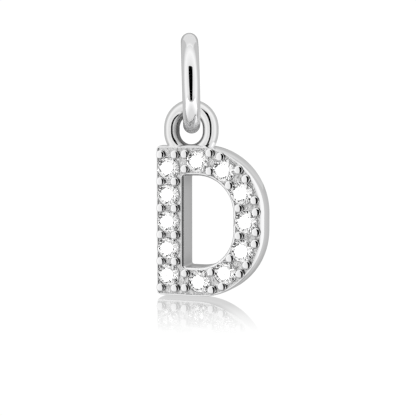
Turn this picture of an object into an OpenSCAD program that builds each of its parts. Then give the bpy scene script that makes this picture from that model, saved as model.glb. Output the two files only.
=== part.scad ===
// Initial pendant: a capital D set with stones, with a soldered loop, hanging from a jump ring.
// Millimetres, +Z up. The letter's face looks along -Y, and the origin is the highest point
// inside the jump ring, where a chain or hook carries it.

/* [Letter] */
// Height of the letter
letter_h = 8; // [7.6:0.05:8.6]
// Width of the letter
letter_w = 5.88; // [5.6:0.02:6.6]
// Width of the letter's strokes
stroke_w = 1.59; // [1.5:0.01:1.7]
// Thickness of the letter from its back to its rim
letter_t = 1.45; // [1.25:0.05:2]
// Straight stretch at the right of the bowl, between its two round corners
bowl_straight = 0.9; // [0.4:0.05:1.4]
// Radius of the letter's square corners on the left
outer_corner = 0.25; // [0.2:0.01:0.45]
// Radius of the counter's corners on the left
counter_corner = 0.14; // [0.08:0.01:0.3]
// Rounding of the letter's front and back edges
edge_r = 0.1; // [0.05:0.01:0.11]

/* [Rim and beads] */
// Width of the raised rim along each edge of the face
rim_w = 0.14; // [0.11:0.01:0.18]
// Depth of the field between the rims
field_drop = 0.07; // [0.05:0.01:0.15]
// Diameter of a bead that holds the stones
bead_d = 0.47; // [0.36:0.01:0.5]
// Height of a bead above the rim
bead_rise = 0.12; // [0.1:0.01:0.2]
// Height of the rounded top of a bead
bead_dome = 0.09; // [0.06:0.01:0.15]
// Distance from the stem's row of stones to the beads beside it
stem_bead_off = 0.4; // [0.38:0.005:0.44]
// Distance from the bowl's row of stones to the beads inside it
inner_bead_off = 0.41; // [0.38:0.01:0.44]
// Distance from the bowl's row of stones to the beads outside it
outer_bead_off = 0.5; // [0.46:0.01:0.54]
// Distance between the two outer beads of a gap, measured along the bowl's row
outer_bead_gap = 0.51; // [0.46:0.01:0.6]
// Distance from the last stone of the bowl to the beads beyond it, measured along the row
end_bead_gap = 0.8; // [0.75:0.01:0.95]

/* [Stones] */
// Number of stones down the stem
stem_stones = 5; // [3:1:5]
// Number of stones round the bowl
bowl_stones = 7; // [5:2:7]
// Distance between neighbouring stones of the stem
stem_pitch = 1.41; // [1.3:0.01:1.45]
// Distance that the middle of the stem's row lies below the middle of the letter
stem_row_drop = 0.03; // [0:0.01:0.05]
// Distance that the stem's row lies outside the middle of the stroke
stem_row_out = 0.085; // [0.07:0.005:0.1]
// Distance from the stem's row to the two ends of the bowl's row
corner_pitch = 1.765; // [1.7:0.005:1.85]
// Distance that the bowl's row lies inside the middle of the stroke
bowl_row_in = 0.05; // [0:0.005:0.055]
// Distance that the bowl's stones lie to the left of their row
bowl_stones_left = 0.08; // [0.04:0.01:0.1]
// Distance that the bowl's stones and beads are slid up along their row
bowl_slide = 0.05; // [0:0.01:0.08]
// Diameter of a stone
stone_d = 1.15; // [1:0.01:1.18]
// Diameter of a stone's table, across its corners
table_d = 0.71; // [0.6:0.01:0.8]
// Height of a stone's crown above its girdle
crown_h = 0.18; // [0.12:0.01:0.22]
// Depth of a stone's pavilion below its girdle
pavilion_h = 0.49; // [0.4:0.01:0.55]
// Thickness of a stone's girdle
girdle_t = 0.03; // [0.02:0.005:0.05]
// Depth of the top of the girdle below the rim
girdle_drop = 0.02; // [0:0.01:0.06]
// Gap between a stone and its seat
seat_gap = 0.015; // [0.01:0.005:0.03]

/* [Loop] */
// Diameter of the loop's wire
loop_wire = 0.83; // [0.6:0.01:0.95]
// Width of the loop, from wire centre to wire centre
loop_w = 2.17; // [2.1:0.01:2.6]
// Height of the loop, from wire centre to wire centre
loop_h = 2.35; // [2.25:0.01:2.8]
// Distance from the letter's left edge to the loop's middle
loop_x = 1.77; // [1.5:0.01:2.5]
// Height of the loop's middle above the letter
loop_rise = 0.795; // [0.7:0.01:0.9]

/* [Jump ring] */
// Outer diameter of the jump ring
ring_d = 5.24; // [4.8:0.02:6.5]
// Diameter of the jump ring's wire
ring_wire = 0.9; // [0.7:0.01:0.95]
// Gap between the jump ring and the loop that it carries
ring_gap = 0.06; // [0.04:0.01:0.1]
// Angle that the jump ring is turned away from square to the letter
ring_turn = 20; // [0:1:24]
// Angle that the jump ring leans to the side
ring_lean = 1.5; // [0:0.1:3]

/* [Hidden] */
STONE_COUNT = stem_stones + bowl_stones;
STONE_NODES = [for (i = [1:STONE_COUNT]) str("stone_", i < 10 ? "0" : "", i)];
$fn = 64;

// The cuts, and the buried ends of beads, run this far past the faces that they meet
over = 0.05;
right_angle = 90;
full_turn = 360;

// The bowl's corners are quarter circles about two centres
bowl_r = (letter_h - bowl_straight) / 2;
bowl_cx = letter_w - bowl_r;
field_z = letter_t - field_drop;
// The flat plate of the field ends at the middle of each rim
plate_in = rim_w / 2;
// A rim keeps at least this share of its width flat
rim_flat_share = 0.2;
edge_limit = min(edge_r, (1 - rim_flat_share) * rim_w);
edge_steps = 4;

// The rows of stones, in the letter's own plane
row_x = stroke_w / 2 - stem_row_out;
bowl_row_r = bowl_r - stroke_w / 2 - bowl_row_in;
bowl_corner_length = bowl_row_r * PI / 2;
// The bowl's stones are spread evenly over the row, from one end stone round to the other
bowl_end_s = bowl_straight / 2 + bowl_corner_length + bowl_cx - row_x - corner_pitch;
bowl_pitch = 2 * bowl_end_s / (bowl_stones - 1);
girdle_z = letter_t - girdle_drop;
bead_r = bead_d / 2;
bead_top = letter_t + bead_rise;
bead_steps = 5;
bead_root = field_z - over;

// A round brilliant has eight-fold symmetry
facets = 8;
facet_step = full_turn / facets;
stone_r = stone_d / 2;
table_r = table_d / 2;
star_r = (stone_r + table_r * cos(facet_step / 2)) / 2;
star_h = crown_h * (stone_r - star_r * cos(facet_step / 2)) / (stone_r - table_r);
// The lower halves reach from the girdle this share of the way to the middle
lower_half_share = 0.76;
lower_r = stone_r * (1 - lower_half_share);
lower_z = pavilion_h * (1 - lower_r * cos(facet_step / 2) / stone_r);

// The ring hangs from the origin, and the loop's top wire rests in the ring's lowest part
ring_r = (ring_d - ring_wire) / 2;
ring_inner_d = ring_d - 2 * ring_wire;
loop_drop = ring_inner_d - ring_gap - loop_wire / 2;
loop_side = loop_drop * sin(ring_lean);
loop_top = [loop_side * cos(ring_turn), loop_side * sin(ring_turn), -loop_drop * cos(ring_lean)];
loop_centre_y = letter_h + loop_rise;
loop_straight = loop_h - loop_w;

// Where a place along the bowl's row lies, with s measured from the middle of its right side,
// and out the distance outside the row. Past its round corners the row runs straight to the left.
function bowl_point(s, out = 0) = let (
    side = s < 0 ? -1 : 1,
    along = min(abs(s), bowl_straight / 2),
    past = max(0, abs(s) - bowl_straight / 2),
    a = min(1, past / bowl_corner_length) * right_angle,
    beyond = max(0, past - bowl_corner_length),
    r = bowl_row_r + out
  ) [bowl_cx + r * cos(a) - beyond, letter_h / 2 + side * (along + r * sin(a))];
function stem_point(i) = [row_x, letter_h / 2 - stem_row_drop + (i - (stem_stones - 1) / 2) * stem_pitch];

stone_places = concat(
  [for (i = [stem_stones - 1:-1:0]) stem_point(i)],
  [
    for (i = [bowl_stones - 1:-1:0])
      bowl_point(i * bowl_pitch - bowl_end_s + bowl_slide) - [bowl_stones_left, 0]
  ]
);

// Beads stand in pairs beside each gap of the stem and past its two ends
stem_beads = [
  for (i = [-1:stem_stones - 1], side = [-1, 1])
    [row_x + side * stem_bead_off, stem_point(i + 0.5)[1]]
];
// Each gap of the bowl has one bead inside the row and two outside it
bowl_gaps = [for (i = [0:bowl_stones - 2]) (i + 0.5) * bowl_pitch - bowl_end_s + bowl_slide];
bowl_beads = [
  for (s = bowl_gaps, bead = [[0, -inner_bead_off], [-0.5, outer_bead_off], [0.5, outer_bead_off]])
    bowl_point(s + bead[0] * outer_bead_gap, bead[1])
];
// Two beads close each end of the bowl's row, beside the corner stones of the stem
end_bead_s = bowl_end_s + end_bead_gap;
end_beads = [
  for (side = [-1, 1], off = [-inner_bead_off, inner_bead_off - bowl_row_in])
    bowl_point(side * end_bead_s, off)
];

function arc(centre, r, from, to, steps) = [
  for (i = [0:steps]) let (a = from + (to - from) * i / steps) centre + r * [cos(a), sin(a)]
];

module quarter(r) {
  intersection() {
    circle(r);
    square(r);
  }
}

// The outline of a D that lies inset from the letter's outer edge, with its own left corners
module d_shape(inset, corner) {
  r = bowl_r - inset;
  tall = letter_h - 2 * inset;
  translate([inset + corner, inset]) square([bowl_cx - inset - corner, tall]);
  translate([inset, inset + corner]) square([corner, tall - 2 * corner]);
  translate([bowl_cx, bowl_r]) square([r, bowl_straight]);
  for (up = [0, 1]) translate([0, up * letter_h]) mirror([0, up]) {
    translate([inset + corner, inset + corner]) rotate(2 * right_angle) quarter(corner);
    translate([bowl_cx, bowl_r]) rotate(-right_angle) quarter(r);
  }
}

// One straight stretch of a profile, whose x points along the angle out
module straight(at, out, length) {
  translate(at) rotate(out) rotate([right_angle, 0, 0]) linear_extrude(length, center = true) children();
}

module bend(at, r, from) {
  translate(at) rotate_extrude(angle = right_angle, start = from) translate([r, 0]) children();
}

// Carries a profile round the same outline as d_shape, with the profile's x pointing outwards
module along_d(inset, corner) {
  r = bowl_r - inset;
  mid = letter_h / 2;
  straight([inset, mid], 2 * right_angle, letter_h - 2 * (inset + corner)) children();
  straight([bowl_cx + r, mid], 0, bowl_straight) children();
  for (up = [-1, 1]) {
    flat = bowl_cx - inset - corner;
    straight([inset + corner + flat / 2, mid + up * (mid - inset)], up * right_angle, flat) children();
    bend([bowl_cx, mid + up * bowl_straight / 2], r, up > 0 ? 0 : -right_angle) children();
    bend([inset + corner, mid + up * (mid - inset - corner)], corner, up > 0 ? right_angle : 2 * right_angle)
      children();
  }
}

// The section of a rim, from the letter's wall at x = 0 into the metal
module rim_section() {
  low = [edge_limit, edge_limit];
  high = [edge_limit, letter_t - edge_limit];
  polygon(concat(
    arc(low, edge_limit, 2 * right_angle, 3 * right_angle, edge_steps),
    [[rim_w, 0], [rim_w, letter_t]],
    arc(high, edge_limit, right_angle, 2 * right_angle, edge_steps)
  ));
}

module frame() {
  linear_extrude(field_z) difference() {
    d_shape(plate_in, outer_corner - plate_in);
    d_shape(stroke_w - plate_in, counter_corner + plate_in);
  }
  along_d(0, outer_corner) mirror([1, 0]) rim_section();
  along_d(stroke_w, counter_corner) rim_section();
}

module bead() {
  shoulder = [0, bead_top - bead_dome];
  rotate_extrude() polygon(concat(
    [[0, bead_root], [bead_r, bead_root]],
    [
      for (i = [0:bead_steps])
        let (a = right_angle * i / bead_steps)
          shoulder + [i == bead_steps ? 0 : bead_r * cos(a), bead_dome * sin(a)]
    ]
  ));
}

// The space that a stone and its clearance take up, open past its table
module seat() {
  g = seat_gap;
  rotate_extrude() polygon([
    [0, -girdle_t - pavilion_h - 2 * g],
    [stone_r + g, -girdle_t - g],
    [stone_r + g, g],
    [star_r + g, star_h + g],
    [table_r + g, crown_h + g],
    [table_r + g, bead_rise + girdle_drop + over],
    [0, bead_rise + girdle_drop + over]
  ]);
}

// The soldered loop: two half rings of wire and the short straights between them
module loop() {
  translate([loop_x, loop_centre_y, letter_t / 2]) for (up = [0, 1]) mirror([0, up]) {
    translate([0, loop_straight / 2]) rotate_extrude(angle = 2 * right_angle)
      translate([loop_w / 2, 0]) circle(d = loop_wire);
    for (side = [-1, 1]) translate([side * loop_w / 2, 0]) rotate([-right_angle, 0, 0])
      cylinder(h = loop_straight / 2, d = loop_wire);
  }
}

// Stands the flat letter up and hangs its loop in the ring
module hang() {
  translate(loop_top) rotate([right_angle, 0, 0])
    translate([-loop_x, -loop_centre_y - loop_h / 2, -letter_t / 2]) children();
}

module letter() {
  color("silver") hang() difference() {
    union() {
      frame();
      loop();
      for (at = concat(stem_beads, bowl_beads, end_beads)) translate(at) bead();
    }
    for (at = stone_places) translate([at[0], at[1], girdle_z]) seat();
  }
}

function ring_of(r, z, n, turn = 0) = [
  for (i = [0:n - 1]) let (a = turn + i * full_turn / n) [r * cos(a), r * sin(a), z]
];

// A round brilliant: table, eight stars, eight kites, sixteen upper halves, a girdle of sixteen
// flats, sixteen lower halves and eight mains that meet in a point
module stone(i) {
  n = facets;
  half = facet_step / 2;
  points = concat(
    ring_of(table_r, crown_h, n),
    ring_of(star_r, star_h, n, half),
    ring_of(stone_r, 0, 2 * n),
    ring_of(stone_r, -girdle_t, 2 * n),
    ring_of(lower_r, -girdle_t - lower_z, n, half),
    [[0, 0, -girdle_t - pavilion_h]]
  );
  star = n;
  girdle = 2 * n;
  under = 4 * n;
  lower = 6 * n;
  culet = 7 * n;
  faces = concat(
    [[for (k = [n - 1:-1:0]) k]],
    [for (k = [0:n - 1]) [k, (k + 1) % n, star + k]],
    [for (k = [0:n - 1]) [k, star + k, girdle + 2 * k, star + (k + n - 1) % n]],
    [for (k = [0:n - 1]) [star + k, girdle + 2 * k + 1, girdle + 2 * k]],
    [for (k = [0:n - 1]) [star + k, girdle + (2 * k + 2) % (2 * n), girdle + 2 * k + 1]],
    [for (k = [0:2 * n - 1]) let (m = (k + 1) % (2 * n)) [girdle + k, girdle + m, under + m, under + k]],
    [for (k = [0:n - 1]) [under + 2 * k, under + 2 * k + 1, lower + k]],
    [for (k = [0:n - 1]) [under + 2 * k + 1, under + (2 * k + 2) % (2 * n), lower + k]],
    [for (k = [0:n - 1]) [under + 2 * k, lower + k, culet, lower + (k + n - 1) % n]]
  );
  at = stone_places[i];
  color("white") hang() translate([at[0], at[1], girdle_z]) polyhedron(points, faces);
}

// The ring stands across the loop, turned and leaning as it hangs
module jump_ring() {
  color("silver") rotate([0, -ring_lean, ring_turn]) translate([0, 0, -ring_inner_d / 2])
    rotate([0, right_angle, 0]) rotate_extrude() translate([ring_r, 0]) circle(d = ring_wire);
}

letter();
jump_ring();
for (i = [0:STONE_COUNT - 1])
  stone(i);
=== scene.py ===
"""The looks of the initial pendant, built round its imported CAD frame.

The letter is drawn flat, in millimetres: u runs right from its left edge, w up from its bottom
and d forward from its back. Everything else is in metres, in the frame's own axes.
"""

import math

import bmesh
import bpy
from mathutils import Matrix, Vector

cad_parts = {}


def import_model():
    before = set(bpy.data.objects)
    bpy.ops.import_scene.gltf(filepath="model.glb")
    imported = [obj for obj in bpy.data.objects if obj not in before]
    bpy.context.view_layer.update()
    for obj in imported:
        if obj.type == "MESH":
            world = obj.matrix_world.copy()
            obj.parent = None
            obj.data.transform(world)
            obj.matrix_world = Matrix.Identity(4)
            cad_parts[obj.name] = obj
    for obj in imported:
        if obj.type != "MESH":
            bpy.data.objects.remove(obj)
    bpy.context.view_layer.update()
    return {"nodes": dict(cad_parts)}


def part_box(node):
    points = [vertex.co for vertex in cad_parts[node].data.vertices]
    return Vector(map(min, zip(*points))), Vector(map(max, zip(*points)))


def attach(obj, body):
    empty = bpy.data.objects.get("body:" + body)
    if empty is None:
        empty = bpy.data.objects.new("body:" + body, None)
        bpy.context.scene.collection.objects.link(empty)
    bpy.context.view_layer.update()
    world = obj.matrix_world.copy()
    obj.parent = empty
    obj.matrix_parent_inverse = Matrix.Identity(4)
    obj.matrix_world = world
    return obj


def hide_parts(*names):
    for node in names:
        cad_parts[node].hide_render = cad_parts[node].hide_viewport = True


MM = 0.001

# The letter, as in part.scad
LETTER_H = 8.0
LETTER_W = 5.88
STROKE_W = 1.59
LETTER_T = 1.45
BOWL_STRAIGHT = 0.9
OUTER_CORNER = 0.25
COUNTER_CORNER = 0.14
RIM_W = 0.14
FIELD_DROP = 0.07

# The stones and their rows, as in part.scad
STEM_STONES = 5
STEM_ROW_OUT = 0.085
CORNER_PITCH = 1.765
BOWL_ROW_IN = 0.05
BOWL_SLIDE = 0.05
CROWN_H = 0.18
GIRDLE_T = 0.03
SEAT_GAP = 0.015

# The beads, as in part.scad
BEAD_D = 0.47
BEAD_RISE = 0.12
STEM_BEAD_OFF = 0.4
INNER_BEAD_OFF = 0.41
OUTER_BEAD_OFF = 0.5
OUTER_BEAD_GAP = 0.51
END_BEAD_GAP = 0.8

# The loop and the ring, as in part.scad
LOOP_WIRE = 0.83
LOOP_W = 2.17
LOOP_H = 2.35
LOOP_X = 1.77
LOOP_RISE = 0.795
RING_D = 5.24
RING_WIRE = 0.9
RING_TURN = 20
RING_LEAN = 1.5

# What follows from them: the bowl's outer radius and centre, the radius of its row of stones, the
# field's distance from the back, and where the beads and lips start, just under the field
BOWL_R = (LETTER_H - BOWL_STRAIGHT) / 2
BOWL_U = LETTER_W - BOWL_R
ROW_R = BOWL_R - STROKE_W / 2 - BOWL_ROW_IN
FIELD = LETTER_T - FIELD_DROP
ROOT = FIELD - 0.05

# Detail that the scene adds. A rim's front edge is the start of an oval corner, given by its reach
# across the rim, its reach down the wall and its last angle.
OUTER_EDGE = (0.16, 0.7, 60)
INNER_EDGE = (0.12, 0.12, 90)
BACK_EDGE = 0.08
BEAD_DOME = 0.08
BEAD_SQUARENESS = 2.5

# A lip round a seat, outwards from the stone's girdle: its middle, its foot, the foot at the field
# and the side in the seat
LIP_OUT = 0.035
LIP_FOOT = 0.09
LIP_NECK = 0.075
LIP_IN = -0.05
LIP_R = 0.03
LIP_TOP = LETTER_T - 0.01

# The space cut for a stone: its bottom's radius, how far in from the girdle it passes the table and
# ends, and where it ends
SEAT_TIP_R = 0.03
SEAT_TABLE_IN = 0.16
SEAT_MOUTH_IN = 0.2
SEAT_MOUTH = LETTER_T + 0.3

# The letter's material slots. The counter's walls, the dark edge and the beads' sides are darker
# copies of the silver: painted shade and painted dark reflections
POLISHED, FROSTED, COUNTER_PAINTED_SHADE, PAINTED_DARK_EDGE, BEAD_PAINTED_DARK = range(5)

# The camera: its place by the letter, and the lens that gives the photograph's scale
PHOTO_SIDE = 416
CAMERA_U = 17.602
CAMERA_BEFORE = 44.9
CAMERA_W = 8.145
CAMERA_TURN = 18.355
CAMERA_PITCH = -4.188
FOCAL_PIXELS = 899.2

# The studio: where it faces, how far off its lights and cards stand, and its floor
STUDIO_TURN = math.radians(18)
NEAR = 200 * MM
FAR = 300 * MM
DOME_R = 420 * MM
BACKDROP_FAR = 500 * MM
FLOOR_HALF = 3.0
FLOOR_GAP = 0.06 * MM

# The dark strip round the camera, in degrees up and to each side, and the narrower one for the loop
STRIP_TOP = 36.5
STRIP_FOOT = -42
STRIP_TOP_WIDE = 29
STRIP_FOOT_WIDE = 17
LOOP_TOP_WIDE = 17
LOOP_FOOT_WIDE = 7

# The meshes' fineness
CORNER_STEPS = 8
BOWL_STEPS = 40
EDGE_STEPS = 10
BACK_STEPS = 6
BEAD_STEPS = 40
DOME_STEPS = 15
SEAT_STEPS = 48
LIP_STEPS = 64
LIP_ARC_STEPS = 6
LOOP_STEPS = 48
LOOP_SECTION = 40
RING_STEPS = 160
RING_SECTION = 48


# Small tools for meshes

def mesh_object(name, verts, faces, smooth=True):
    """An object with this mesh, linked to the scene."""
    mesh = bpy.data.meshes.new(name)
    mesh.from_pydata(verts, [], faces)
    mesh.validate()
    mesh.polygons.foreach_set("use_smooth", [smooth] * len(mesh.polygons))
    piece = bpy.data.objects.new(name, mesh)
    bpy.context.scene.collection.objects.link(piece)
    return piece


def arc(cx, cy, r, start, end, steps):
    """Points along an arc, with both ends, from angles in degrees."""
    angles = (math.radians(start + (end - start) * i / steps) for i in range(steps + 1))
    return [(cx + r * math.cos(a), cy + r * math.sin(a)) for a in angles]


def tube_faces(rows, count):
    """Quads round a closed tube, made of closed rows of count points each."""
    faces = []
    for i in range(rows):
        j = (i + 1) % rows
        for k in range(count):
            m = (k + 1) % count
            faces.append((i * count + k, j * count + k, j * count + m, i * count + m))
    return faces


def apply_boolean(piece, cutter, operation):
    """Joins the cutter to the piece, or cuts it out, and deletes the cutter."""
    modifier = piece.modifiers.new("boolean", "BOOLEAN")
    modifier.operation = operation
    modifier.solver = "MANIFOLD"
    modifier.object = cutter
    graph = bpy.context.evaluated_depsgraph_get()
    result = bpy.data.meshes.new_from_object(piece.evaluated_get(graph))
    piece.modifiers.clear()
    piece.data = result
    bpy.data.objects.remove(cutter)


def outward(piece):
    """Makes all face normals point out of a closed mesh."""
    work = bmesh.new()
    work.from_mesh(piece.data)
    bmesh.ops.recalc_face_normals(work, faces=work.faces)
    work.to_mesh(piece.data)
    work.free()
    return piece


# The letter

class Letter:
    """Turns the letter's flat millimetres into the frame's metres."""

    def __init__(self):
        low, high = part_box("letter")
        self.x, self.y, self.z = low.x, high.y, low.z

    def at(self, u, w, d):
        return Vector((self.x + u * MM, self.y - d * MM, self.z + w * MM))

    def flat(self, point):
        """The way back: a point's u, w and d."""
        return (point.x - self.x) / MM, (point.z - self.z) / MM, (self.y - point.y) / MM


def d_outline(inset, corner):
    """Points and outward normals round the D, inset from its outer edge, anticlockwise."""
    r = BOWL_R - inset
    low = inset + corner
    high = LETTER_H - inset - corner
    bends = [
        (BOWL_U, BOWL_R, r, -90, BOWL_STEPS),
        (BOWL_U, (LETTER_H + BOWL_STRAIGHT) / 2, r, 0, BOWL_STEPS),
        (low, high, corner, 90, CORNER_STEPS),
        (low, low, corner, 180, CORNER_STEPS),
    ]
    stations = []
    for cu, cw, radius, start, steps in bends:
        for i in range(steps + 1):
            a = math.radians(start + 90 * i / steps)
            normal = (math.cos(a), math.sin(a))
            stations.append(((cu + radius * normal[0], cw + radius * normal[1]), normal))
    return stations


def sweep(name, letter, stations, profile):
    """Carries a closed profile of (outward, d) points round the stations."""
    verts = []
    for (u, w), (nu, nw) in stations:
        verts += [letter.at(u + nu * out, w + nw * out, d) for out, d in profile]
    return outward(mesh_object(name, verts, tube_faces(len(stations), len(profile))))


def revolve(name, letter, u, w, profile, steps):
    """Turns a profile of (radius, d) points, whose ends lie on its axis, about a forward axis."""
    centre = letter.at(u, w, 0)
    turn = Vector((0, -1, 0)).to_track_quat("Z", "Y")
    ring = profile[1:-1]
    verts = []
    for i in range(steps):
        a = math.tau * i / steps
        for r, d in ring:
            verts.append(centre + turn @ Vector((r * math.cos(a), r * math.sin(a), d)) * MM)
    count = len(ring)
    faces = []
    for i in range(steps):
        j = (i + 1) % steps
        for k in range(count - 1):
            faces.append((i * count + k, j * count + k, j * count + k + 1, i * count + k + 1))
    for (_, d), row in ((profile[0], 0), (profile[-1], count - 1)):
        verts.append(centre + turn @ Vector((0, 0, d)) * MM)
        tip = len(verts) - 1
        for i in range(steps):
            faces.append((i * count + row, (i + 1) % steps * count + row, tip))
    return outward(mesh_object(name, verts, faces))


def rim_profile(side, edge):
    """A rim's section, from its wall at 0 into the metal. side is 1 for the outer rim, else -1."""
    wide_r, deep_r, last = edge
    end = math.sin(math.radians(last))
    points = [(wide_r * (out - 1), LETTER_T + deep_r * (rise - end))
              for out, rise in arc(0, 0, 1, 0, last, EDGE_STEPS)]
    points += [(-RIM_W, LETTER_T), (-RIM_W, 0)]
    points += arc(-BACK_EDGE, BACK_EDGE, BACK_EDGE, -90, 0, BACK_STEPS)
    return [(side * out, d) for out, d in points]


def plate(letter):
    """The field's flat plate, from the back to the field, between the middles of the rims."""
    half = RIM_W / 2
    outer = [p for p, _ in d_outline(half, OUTER_CORNER - half)]
    inner = [p for p, _ in d_outline(STROKE_W - half, COUNTER_CORNER + half)]
    count = len(outer)
    verts = [letter.at(u, w, d) for d in (0, FIELD) for ring in (outer, inner) for u, w in ring]
    faces = []
    for k in range(count):
        m = (k + 1) % count
        faces.append((k, m, count + m, count + k))
        faces.append((2 * count + k, 2 * count + m, 3 * count + m, 3 * count + k))
        faces.append((k, m, 2 * count + m, 2 * count + k))
        faces.append((count + k, count + m, 3 * count + m, 3 * count + k))
    return outward(mesh_object("plate", verts, faces))


def bowl_point(s, out):
    """A place by the bowl's row, s along it from the middle of its right side."""
    side = -1 if s < 0 else 1
    along = min(abs(s), BOWL_STRAIGHT / 2)
    past = max(0, abs(s) - BOWL_STRAIGHT / 2)
    a = min(past / ROW_R, math.pi / 2)
    beyond = max(0, past - ROW_R * math.pi / 2)
    r = ROW_R + out
    return BOWL_U + r * math.cos(a) - beyond, LETTER_H / 2 + side * (along + r * math.sin(a))


def stone_place(letter, node):
    """Where a CAD stone stands, as its u, its w and its radius."""
    low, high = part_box(node)
    u = (low.x + high.x) / 2 / MM - letter.x / MM
    w = (low.z + high.z) / 2 / MM - letter.z / MM
    return u, w, (high.z - low.z) / 2 / MM


def bead_places(letter, stones):
    """Where the beads stand: in pairs down the stem, in threes round the bowl, and at its ends."""
    stem = [stone_place(letter, node) for node in stones[:STEM_STONES]]
    bowl = stones[STEM_STONES:]
    end_u = STROKE_W / 2 - STEM_ROW_OUT + CORNER_PITCH
    end_s = BOWL_STRAIGHT / 2 + ROW_R * math.pi / 2 + BOWL_U - end_u
    pitch = 2 * end_s / (len(bowl) - 1)
    step = stem[0][1] - stem[1][1]
    places = []
    for i in range(-1, len(stem)):
        for side in (-1, 1):
            places.append((stem[0][0] + side * STEM_BEAD_OFF, stem[0][1] - (i + 0.5) * step))
    for i in range(len(bowl) - 1):
        s = (i + 0.5) * pitch - end_s + BOWL_SLIDE
        places.append(bowl_point(s, -INNER_BEAD_OFF))
        for side in (-0.5, 0.5):
            places.append(bowl_point(s + side * OUTER_BEAD_GAP, OUTER_BEAD_OFF))
    for side in (-1, 1):
        for off in (-INNER_BEAD_OFF, INNER_BEAD_OFF - BOWL_ROW_IN):
            places.append(bowl_point(side * (end_s + END_BEAD_GAP), off))
    return places


def bead(letter, u, w):
    """A bead: a short post with a burnished top, flatter in its middle than a ball."""
    r = BEAD_D / 2
    shoulder = LETTER_T + BEAD_RISE - BEAD_DOME
    power = 2 / BEAD_SQUARENESS
    profile = [(0, ROOT), (r, ROOT)]
    for i in range(DOME_STEPS):
        a = math.radians(90 * i / DOME_STEPS)
        profile.append((r * math.cos(a) ** power, shoulder + BEAD_DOME * math.sin(a) ** power))
    profile.append((0, shoulder + BEAD_DOME))
    return revolve("bead", letter, u, w, profile, BEAD_STEPS)


def seat(letter, node):
    """The space cut for a stone: its own cone with a little room, and open past its table."""
    low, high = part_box(node)
    u, w, r = stone_place(letter, node)
    table = (letter.y - low.y) / MM
    tip = (letter.y - high.y) / MM
    girdle = table - CROWN_H
    bottom = tip - 2 * SEAT_GAP
    profile = [(0, bottom), (SEAT_TIP_R, bottom),
               (r + SEAT_GAP, girdle - GIRDLE_T - SEAT_GAP), (r + SEAT_GAP, girdle + SEAT_GAP),
               (r - SEAT_TABLE_IN, table + SEAT_GAP), (r - SEAT_MOUTH_IN, SEAT_MOUTH),
               (0, SEAT_MOUTH)]
    return revolve("seat", letter, u, w, profile, SEAT_STEPS)


def lip(letter, node):
    """The thin bright-cut lip that stands round a stone's seat, on a spreading foot."""
    u, w, r = stone_place(letter, node)
    inner = LIP_TOP - LIP_R
    profile = [(0, ROOT), (r + LIP_FOOT, ROOT), (r + LIP_NECK, FIELD)]
    profile += arc(r + LIP_OUT, inner, LIP_R, 0, 180, LIP_ARC_STEPS)
    profile += [(r + LIP_IN, inner), (0, inner)]
    return revolve("lip", letter, u, w, profile, LIP_STEPS)


def loop(letter):
    """The soldered loop: wire round an upright oval."""
    half_w = LOOP_W / 2
    straight = (LOOP_H - LOOP_W) / 2
    centre_w = LETTER_H + LOOP_RISE
    rows = []
    for start, shift in ((0, straight), (180, -straight)):
        for i in range(LOOP_STEPS + 1):
            a = math.radians(start + 180 * i / LOOP_STEPS)
            rows.append((math.cos(a), math.sin(a), shift))
    verts = []
    for cos_a, sin_a, shift in rows:
        for k in range(LOOP_SECTION):
            b = math.tau * k / LOOP_SECTION
            r = half_w + LOOP_WIRE / 2 * math.cos(b)
            verts.append(letter.at(LOOP_X + r * cos_a, centre_w + shift + r * sin_a,
                                   LETTER_T / 2 + LOOP_WIRE / 2 * math.sin(b)))
    return outward(mesh_object("letter_loop", verts, tube_faces(len(rows), LOOP_SECTION)))


def letter_piece(letter, stones, beads):
    """The letter without its loop: rims, field, lips and beads, with the seats cut out."""
    body = sweep("letter_silver", letter, d_outline(0, OUTER_CORNER), rim_profile(1, OUTER_EDGE))
    inner_line = d_outline(STROKE_W, COUNTER_CORNER)
    inner = sweep("inner_rim", letter, inner_line, rim_profile(-1, INNER_EDGE))
    apply_boolean(body, plate(letter), "UNION")
    apply_boolean(body, inner, "UNION")
    for node in stones:
        apply_boolean(body, lip(letter, node), "UNION")
    for u, w in beads:
        apply_boolean(body, bead(letter, u, w), "UNION")
    for node in stones:
        apply_boolean(body, seat(letter, node), "DIFFERENCE")
    body.data.polygons.foreach_set("use_smooth", [True] * len(body.data.polygons))
    body.data.set_sharp_from_angle(angle=math.radians(32))
    return body


def is_field(d, normal):
    """Whether a face is part of the sunken field between the rims."""
    return abs(d - FIELD) < 0.004 and normal.y < -0.9


def bead_painted_dark_face(u, w, d, normal, beads):
    """Whether a face is on the steep upper right side of a bead, which gets a painted dark
    reflection.
    """
    if d < FIELD + 0.002 or normal.y < -0.72:
        return False
    if not 0 < math.degrees(math.atan2(normal.z, normal.x)) < 50:
        return False
    return any(math.hypot(u - at_u, w - at_w) < BEAD_D / 2 + 0.005 for at_u, at_w in beads)


def in_opening(u, w):
    """Whether a place is in the letter's counter or on the wall round it."""
    past_u = max(0, u - BOWL_U)
    past_w = max(0, abs(w - LETTER_H / 2) - BOWL_STRAIGHT / 2)
    return u > STROKE_W - 0.01 and math.hypot(past_u, past_w) < BOWL_R - STROKE_W + 0.02


def by_stem(u, w):
    """Whether a place is on the counter's front edge along its straight left side, which gets a
    painted dark reflection.
    """
    reach = LETTER_H / 2 - STROKE_W - 0.05
    return abs(u - STROKE_W + 0.06) < 0.08 and abs(w - LETTER_H / 2) < reach


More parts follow.
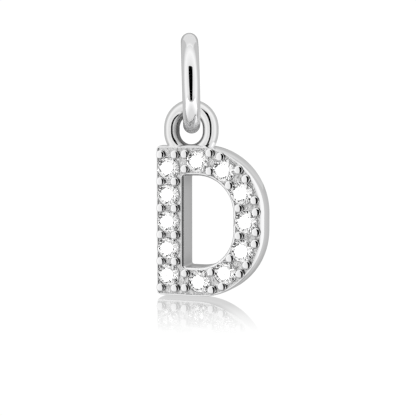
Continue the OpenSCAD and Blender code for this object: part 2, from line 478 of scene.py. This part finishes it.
def finish_or_painted_shade(letter, beads, face):
    """The material slot of one of the letter's faces."""
    u, w, d = letter.flat(face.center)
    normal = face.normal
    if is_field(d, normal):
        return FROSTED
    # The beads' upper right sides are painted near black: a painted dark reflection
    if bead_painted_dark_face(u, w, d, normal, beads):
        return BEAD_PAINTED_DARK
    # The counter's walls get a darker copy of the silver: painted shade in the recess
    if abs(normal.y) < 0.2 and in_opening(u, w):
        return COUNTER_PAINTED_SHADE
    # The counter's front edge by the stem is painted dark: a painted dark reflection
    if by_stem(u, w) and normal.x > 0.2 and normal.y < -0.2:
        return PAINTED_DARK_EDGE
    return POLISHED


def ring_piece():
    """The plain round ring, hanging from the origin."""
    ring_r = (RING_D - RING_WIRE) / 2
    lean = Matrix.Rotation(math.radians(-RING_LEAN), 4, "Y")
    turn = Matrix.Rotation(math.radians(RING_TURN), 4, "Z") @ lean
    centre = Vector((0, 0, -(RING_D / 2 - RING_WIRE)))
    verts = []
    for i in range(RING_STEPS):
        a = math.tau * i / RING_STEPS
        for k in range(RING_SECTION):
            b = math.tau * k / RING_SECTION
            r = ring_r + RING_WIRE / 2 * math.cos(b)
            point = Vector((RING_WIRE / 2 * math.sin(b), r * math.cos(a), r * math.sin(a)))
            verts.append(turn @ (centre + point) * MM)
    return outward(mesh_object("ring_silver", verts, tube_faces(RING_STEPS, RING_SECTION)))


# Materials

def new_material(name):
    """An empty material, with its nodes and its links."""
    material = bpy.data.materials.new(name)
    material.use_nodes = True
    nodes = material.node_tree.nodes
    nodes.clear()
    return material, nodes, material.node_tree.links


def add(nodes, kind, operation=None, **inputs):
    """A shader node with some of its inputs set. The names' underscores stand for spaces."""
    node = nodes.new("ShaderNode" + kind)
    if operation:
        node.operation = operation
    for name, value in inputs.items():
        node.inputs[name.replace("_", " ")].default_value = value
    return node


def show(nodes, links, output):
    """Ends a material in this shader output."""
    links.new(output, add(nodes, "OutputMaterial").inputs["Surface"])


def ramp(nodes, shades):
    """A ColorRamp through (place, grey) stops."""
    node = add(nodes, "ValToRGB")
    stops = node.color_ramp.elements
    for i, (place, shade) in enumerate(shades):
        stop = stops[i] if i < 2 else stops.new(place)
        stop.position = place
        stop.color = (shade, shade, shade, 1)
    return node


def from_black(nodes, links, factor):
    """A colour mix that a factor of 0 makes nearly black, and 1 its B."""
    mix = nodes.new("ShaderNodeMix")
    mix.data_type = "RGBA"
    mix.inputs["A"].default_value = (0.02, 0.02, 0.02, 1)
    links.new(factor, mix.inputs["Factor"])
    return mix


def crevice_shade(nodes, links, reach, darkest):
    """A factor for painted shade: it falls from 1 on open metal to the darkest in a crevice as deep
    as the reach.
    """
    near = add(nodes, "AmbientOcclusion", Distance=reach)
    near.samples = 16
    near.only_local = True
    shade = add(nodes, "MapRange", From_Min=0.35, From_Max=0.85, To_Min=darkest)
    links.new(near.outputs["AO"], shade.inputs["Value"])
    return shade.outputs["Result"]


def silver(name, tone, roughness, bump=0.06, worn=None):
    """Polished silver, with a faint waviness from casting, a little spread in gloss, and painted
    shade that darkens its colour in crevices.
    """
    material, nodes, links = new_material(name)
    shader = add(nodes, "BsdfPrincipled", Metallic=1)
    coords = add(nodes, "TexCoord")
    noise = add(nodes, "TexNoise", Scale=900, Detail=2)
    spread = add(nodes, "MapRange", To_Min=roughness * 0.7, To_Max=roughness * 1.3)
    relief = add(nodes, "Bump", Strength=bump, Distance=0.02 * MM)
    # Painted shade: the colour darkens in crevices, from ambient occlusion
    colour = from_black(nodes, links, crevice_shade(nodes, links, reach=1.6 * MM, darkest=0.5))
    colour.inputs["B"].default_value = (tone, tone, tone * 1.005, 1)
    links.new(colour.outputs["Result"], shader.inputs["Base Color"])
    links.new(coords.outputs["Object"], noise.inputs["Vector"])
    links.new(noise.outputs["Fac"], spread.inputs["Value"])
    gloss = spread.outputs["Result"]
    if worn:
        gloss = worn_gloss(nodes, links, coords, gloss, *worn)
    links.new(gloss, shader.inputs["Roughness"])
    links.new(noise.outputs["Fac"], relief.inputs["Height"])
    links.new(relief.outputs["Normal"], shader.inputs["Normal"])
    show(nodes, links, shader.outputs["BSDF"])
    return material


def worn_gloss(nodes, links, coords, gloss, low_z, high_z):
    """Roughness that grows towards the ring's lowest part, where it rubs in the loop."""
    place = add(nodes, "SeparateXYZ")
    wear = add(nodes, "MapRange", From_Min=high_z, From_Max=low_z, To_Max=0.5)
    both = add(nodes, "Math", "ADD")
    links.new(coords.outputs["Object"], place.inputs["Vector"])
    links.new(place.outputs["Z"], wear.inputs["Value"])
    links.new(gloss, both.inputs[0])
    links.new(wear.outputs["Result"], both.inputs[1])
    return both.outputs["Value"]


def loop_silver_painted_shade(letter):
    """The loop's silver: bright outside, duller inside, and darkened inside by painted shade."""
    material, nodes, links = new_material("loop_silver_painted_shade")
    shader = add(nodes, "BsdfPrincipled", Metallic=1)
    coords = add(nodes, "TexCoord")
    shift = add(nodes, "VectorMath", "SUBTRACT")
    shift.inputs[1].default_value = letter.at(LOOP_X, LETTER_H + LOOP_RISE, 0)
    flat = add(nodes, "VectorMath", "MULTIPLY")
    flat.inputs[1].default_value = (1, 0, LOOP_W / LOOP_H)
    away = add(nodes, "VectorMath", "LENGTH")
    hole_r = (LOOP_W - LOOP_WIRE) / 2
    bright_r = LOOP_W / 2 - 0.16
    inside = add(nodes, "MapRange", From_Min=hole_r * MM, From_Max=bright_r * MM)
    # Painted shade: the colour darkens towards the hole
    tone = ramp(nodes, [(0, 0.16), (0.35, 0.3), (0.75, 0.58), (1, 0.86)])
    spread = add(nodes, "MapRange", To_Min=0.45, To_Max=0.05)
    links.new(coords.outputs["Object"], shift.inputs[0])
    links.new(shift.outputs["Vector"], flat.inputs[0])
    links.new(flat.outputs["Vector"], away.inputs[0])
    links.new(away.outputs["Value"], inside.inputs["Value"])
    links.new(inside.outputs["Result"], tone.inputs["Fac"])
    links.new(tone.outputs["Color"], shader.inputs["Base Color"])
    links.new(inside.outputs["Result"], spread.inputs["Value"])
    links.new(spread.outputs["Result"], shader.inputs["Roughness"])
    show(nodes, links, shader.outputs["BSDF"])
    return material


def frosted_silver():
    """The cast field between the stones: satin and softly mottled, with painted shade in its
    crevices.
    """
    material, nodes, links = new_material("frosted_silver")
    shader = add(nodes, "BsdfPrincipled", Metallic=1, Roughness=0.25)
    coords = add(nodes, "TexCoord")
    cloud = add(nodes, "TexNoise", Scale=5500, Detail=3, Roughness=0.6)
    tone = ramp(nodes, [(0.35, 0.68), (0.65, 1.0)])
    relief = add(nodes, "Bump", Strength=0.8, Distance=0.06 * MM)
    # Painted shade: the colour darkens a little in crevices
    colour = from_black(nodes, links, crevice_shade(nodes, links, reach=0.4 * MM, darkest=0.8))
    links.new(coords.outputs["Object"], cloud.inputs["Vector"])
    links.new(cloud.outputs["Fac"], tone.inputs["Fac"])
    links.new(tone.outputs["Color"], colour.inputs["B"])
    links.new(colour.outputs["Result"], shader.inputs["Base Color"])
    links.new(cloud.outputs["Fac"], relief.inputs["Height"])
    links.new(relief.outputs["Normal"], shader.inputs["Normal"])
    show(nodes, links, shader.outputs["BSDF"])
    return material


def stone_material():
    """Clear cubic zirconia, perfectly polished."""
    material, nodes, links = new_material("clear_stone")
    shader = add(nodes, "BsdfPrincipled", Base_Color=(1, 1, 1, 1), Roughness=0, IOR=2.16,
                 Transmission_Weight=1)
    show(nodes, links, shader.outputs["BSDF"])
    return material


def dark_card_material():
    """A black that no light falls on."""
    material, nodes, links = new_material("dark_card")
    show(nodes, links, add(nodes, "Emission", Color=(0, 0, 0, 1), Strength=0).outputs["Emission"])
    return material


def see_through_emitter(name, strength):
    """Light for the objects it is linked to, and clear to every other object."""
    material, nodes, links = new_material(name)
    glow = add(nodes, "Emission", Strength=strength)
    clear = add(nodes, "BsdfTransparent")
    both = add(nodes, "AddShader")
    links.new(glow.outputs["Emission"], both.inputs[0])
    links.new(clear.outputs["BSDF"], both.inputs[1])
    show(nodes, links, both.outputs["Shader"])
    return material


# The studio

def camera(letter):
    """The camera, at the photograph's viewing angle and scale."""
    data = bpy.data.cameras.new("camera")
    data.sensor_width = 36
    data.lens = FOCAL_PIXELS / PHOTO_SIDE * data.sensor_width
    data.clip_start = 0.001
    data.clip_end = 10
    seen = bpy.data.objects.new("camera", data)
    seen.location = letter.at(CAMERA_U, CAMERA_W, LETTER_T / 2 + CAMERA_BEFORE)
    seen.rotation_euler = (math.radians(90 + CAMERA_PITCH), 0, math.radians(CAMERA_TURN))
    bpy.context.scene.collection.objects.link(seen)
    bpy.context.scene.camera = seen


def world(front):
    """A studio that is white in front, grey behind, darker below, and plain white to the eye."""
    studio = bpy.data.worlds.new("studio")
    bpy.context.scene.world = studio
    studio.use_nodes = True
    nodes, links = studio.node_tree.nodes, studio.node_tree.links
    nodes.clear()
    coords = add(nodes, "TexCoord")
    dot = add(nodes, "VectorMath", "DOT_PRODUCT")
    dot.inputs[1].default_value = front
    angle = add(nodes, "Math", "ARCCOSINE")
    share = add(nodes, "Math", "DIVIDE")
    share.inputs[1].default_value = math.pi
    before = ramp(nodes, [(0, 0.82), (0.2, 0.85), (0.4, 1.05), (0.5, 0.85), (0.57, 0.6), (0.8, 0.6),
                          (0.9, 0.4)])
    below = ramp(nodes, [(0.05, 0.2), (0.3, 1.0)])
    height = add(nodes, "SeparateXYZ")
    level = add(nodes, "MapRange", From_Min=-1)
    shade = nodes.new("ShaderNodeMix")
    shade.data_type = "RGBA"
    shade.blend_type = "MULTIPLY"
    shade.inputs["Factor"].default_value = 1
    lights = add(nodes, "Background")
    plain = add(nodes, "Background", Color=(1, 1, 1, 1), Strength=1.05)
    path = add(nodes, "LightPath")
    pick = add(nodes, "MixShader")
    links.new(coords.outputs["Generated"], dot.inputs[0])
    links.new(dot.outputs["Value"], angle.inputs[0])
    links.new(angle.outputs["Value"], share.inputs[0])
    links.new(share.outputs["Value"], before.inputs["Fac"])
    links.new(coords.outputs["Generated"], height.inputs["Vector"])
    links.new(height.outputs["Z"], level.inputs["Value"])
    links.new(level.outputs["Result"], below.inputs["Fac"])
    links.new(before.outputs["Color"], shade.inputs["A"])
    links.new(below.outputs["Color"], shade.inputs["B"])
    links.new(shade.outputs["Result"], lights.inputs["Color"])
    links.new(path.outputs["Is Camera Ray"], pick.inputs["Fac"])
    links.new(lights.outputs["Background"], pick.inputs[1])
    links.new(plain.outputs["Background"], pick.inputs[2])
    links.new(pick.outputs["Shader"], add(nodes, "OutputWorld").inputs["Surface"])


def light_only(light, receivers):
    """Lets a glowing object light these pieces alone."""
    lit = bpy.data.collections.new("lit_by_" + light.name)
    for piece in receivers:
        lit.objects.link(piece)
    light.light_linking.receiver_collection = lit


def oblong(wide, high, low):
    """A card's corners, in degrees to each side, and up to its highest and lowest edge."""
    return [(-wide, high), (wide, high), (wide, low), (-wide, low)]


def card(name, centre, towards, far, corners, material):
    """A flat card that stands far off in one direction. The eye doesn't see it."""
    if abs(towards.z) > 0.9:
        side = Vector((math.cos(STUDIO_TURN), math.sin(STUDIO_TURN), 0))
    else:
        side = Vector((0, 0, 1)).cross(towards).normalized()
    up = towards.cross(side)
    verts = []
    for wide, tall in corners:
        line = towards + side * math.tan(math.radians(wide)) + up * math.tan(math.radians(tall))
        verts.append(centre + far * line)
    piece = mesh_object(name, verts, [(0, 1, 2, 3)], smooth=False)
    piece.data.materials.append(material)
    piece.visible_camera = False
    piece.visible_shadow = False
    return piece


def fill(name, centre, towards, far, corners, strength, receivers):
    """A see-through glowing card that lights these pieces alone."""
    glow = see_through_emitter(name, strength)
    light_only(card(name, centre, towards, far, corners, glow), receivers)


def metal_cards(centre, front, body, eye, ring):
    """The dark upright strip round the camera, which polished metal mirrors, and the metal's fills.

    The loop mirrors a narrower strip, so cards that light the loop alone cover its sides."""
    corners = [(-STRIP_TOP_WIDE, STRIP_TOP), (STRIP_TOP_WIDE, STRIP_TOP),
               (STRIP_FOOT_WIDE, STRIP_FOOT), (-STRIP_FOOT_WIDE, STRIP_FOOT)]
    card("dark_strip", centre, front, FAR, corners, dark_card_material())
    for sign in (-1, 1):
        corners = [(sign * LOOP_TOP_WIDE, STRIP_TOP + 2),
                   (sign * (STRIP_TOP_WIDE + 1), STRIP_TOP + 2),
                   (sign * (STRIP_FOOT_WIDE + 1), STRIP_FOOT - 2),
                   (sign * LOOP_FOOT_WIDE, STRIP_FOOT - 2)]
        fill("strip_fill", centre, front, FAR - 10 * MM, corners, 0.85, [eye])
    below = Vector((0, 0, -1))
    behind_up = Vector((-front.x / 2, -front.y / 2, math.sqrt(3) / 2))
    aside = Matrix.Rotation(math.radians(105), 3, "Z") @ front
    fill("ring_fill", centre, below, NEAR, oblong(60, 45, -20), 0.6, [ring])
    fill("ring_top_fill", centre, behind_up, NEAR, oblong(30, 28, -30), 0.2, [ring])
    fill("wall_fill", centre, aside, FAR, oblong(31, 60, -60), 0.4, [body])
    fill("back_fill", centre, -front, FAR, oblong(30, 50, 7), 0.12, [body])


def stone_lights(centre, front, stones):
    """A bright dome in front, and the table's flash, that light the stones alone."""
    bpy.ops.mesh.primitive_uv_sphere_add(segments=48, ring_count=24, radius=DOME_R,
                                         location=centre)
    dome = bpy.context.object
    dome.name = "stone_glow"
    work = bmesh.new()
    work.from_mesh(dome.data)
    back = [face for face in work.faces
            if face.calc_center_median().normalized().dot(front) < -0.2]
    bmesh.ops.delete(work, geom=back, context="FACES")
    work.to_mesh(dome.data)
    work.free()
    dome.data.materials.append(see_through_emitter("stone_glow", 0.45))
    dome.visible_camera = False
    dome.visible_shadow = False
    light_only(dome, stones)
    mirrored = Vector((-front.x, front.y, 0)).normalized()
    fill("table_flash", centre, mirrored, FAR, oblong(9, 6, -16), 6, stones)


def floor(letter, front):
    """The pale floor, glossy round the letter's foot, and the white backdrop that it mirrors."""
    half, z = FLOOR_HALF, letter.z - FLOOR_GAP
    verts = [(-half, -half, z), (half, -half, z), (half, half, z), (-half, half, z)]
    piece = mesh_object("floor", verts, [(0, 1, 2, 3)], smooth=False)
    material, nodes, links = new_material("floor")
    glow = add(nodes, "Emission", Strength=1.03)
    gloss = add(nodes, "BsdfGlossy", Roughness=0.04)
    coords = add(nodes, "TexCoord")
    away = add(nodes, "VectorMath", "DISTANCE")
    away.inputs[1].default_value = letter.at(LETTER_W / 2, 0, LETTER_T / 2)
    place = add(nodes, "MapRange", From_Max=12 * MM)
    fade = ramp(nodes, [(0.2, 0.5), (0.45, 0.25), (0.8, 0)])
    mix = add(nodes, "MixShader")
    links.new(coords.outputs["Object"], away.inputs[0])
    links.new(away.outputs["Value"], place.inputs["Value"])
    links.new(place.outputs["Result"], fade.inputs["Fac"])
    links.new(fade.outputs["Color"], mix.inputs["Fac"])
    links.new(glow.outputs["Emission"], mix.inputs[1])
    links.new(gloss.outputs["BSDF"], mix.inputs[2])
    show(nodes, links, mix.outputs["Shader"])
    piece.data.materials.append(material)
    piece.visible_glossy = False
    fill("backdrop", letter.at(0, 0, 0), -front, BACKDROP_FAR, oblong(60, 70, -5), 0.9, [piece])


# The pendant

def dress_letter(letter, stones):
    """The letter, with its polish, frosting, painted shade and painted dark reflections, in place
    of the CAD letter.
    """
    beads = bead_places(letter, stones)
    body = letter_piece(letter, stones, beads)
    body.data.materials.clear()
    # In the order of the material slots
    body.data.materials.append(silver("polished_silver", tone=0.95, roughness=0.05))
    body.data.materials.append(frosted_silver())
    # Darker silver for the counter's walls: painted shade, with a little more roughness
    body.data.materials.append(silver("counter_painted_shade", tone=0.66, roughness=0.1))
    # Dark silver for the counter's edge by the stem: a painted dark reflection
    body.data.materials.append(silver("edge_painted_dark", tone=0.25, roughness=0.12))
    # Near-black silver for the beads' upper right sides: a painted dark reflection
    body.data.materials.append(silver("bead_painted_dark", tone=0.07, roughness=0.2))
    for face in body.data.polygons:
        face.material_index = finish_or_painted_shade(letter, beads, face)
    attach(body, "drop")
    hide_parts("letter")
    return body


def dress_loop(letter):
    """The loop, which in CAD is part of the letter."""
    eye = loop(letter)
    eye.data.materials.append(loop_silver_painted_shade(letter))
    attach(eye, "drop")
    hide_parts("letter")
    return eye


def dress_ring():
    """The ring, in place of the CAD ring. It is left out of the other pieces' mirror images."""
    ring = ring_piece()
    worn = (-(RING_D - RING_WIRE) * MM, -(RING_D - 2 * RING_WIRE) * MM)
    polish = silver("ring_silver", tone=0.9, roughness=0.05, bump=0.03, worn=worn)
    ring.data.materials.append(polish)
    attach(ring, "ring")
    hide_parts("jump_ring")
    ring.visible_glossy = False
    return ring


def dress_stones(stones):
    """The CAD stones, with a clear material and flat facets."""
    clear = stone_material()
    for stone in stones:
        stone.data.materials.clear()
        stone.data.materials.append(clear)
        stone.data.polygons.foreach_set("use_smooth", [False] * len(stone.data.polygons))


def main():
    """Loads the frame, dresses it, and sets up the studio and the camera."""
    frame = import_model()
    names = sorted(node for node in frame["nodes"] if node.startswith("stone_"))
    stones = [frame["nodes"][name] for name in names]
    letter = Letter()

    body = dress_letter(letter, names)
    eye = dress_loop(letter)
    ring = dress_ring()
    dress_stones(stones)

    front = Vector((math.sin(STUDIO_TURN), -math.cos(STUDIO_TURN), 0))
    camera(letter)
    world(front)
    metal_cards(letter.at(LETTER_W / 2, LETTER_H, 0), front, body, eye, ring)
    stone_lights(letter.at(LETTER_W / 2, LETTER_H / 2, 0), front, stones)
    floor(letter, front)
    bpy.context.scene.view_settings.view_transform = "Standard"


main()
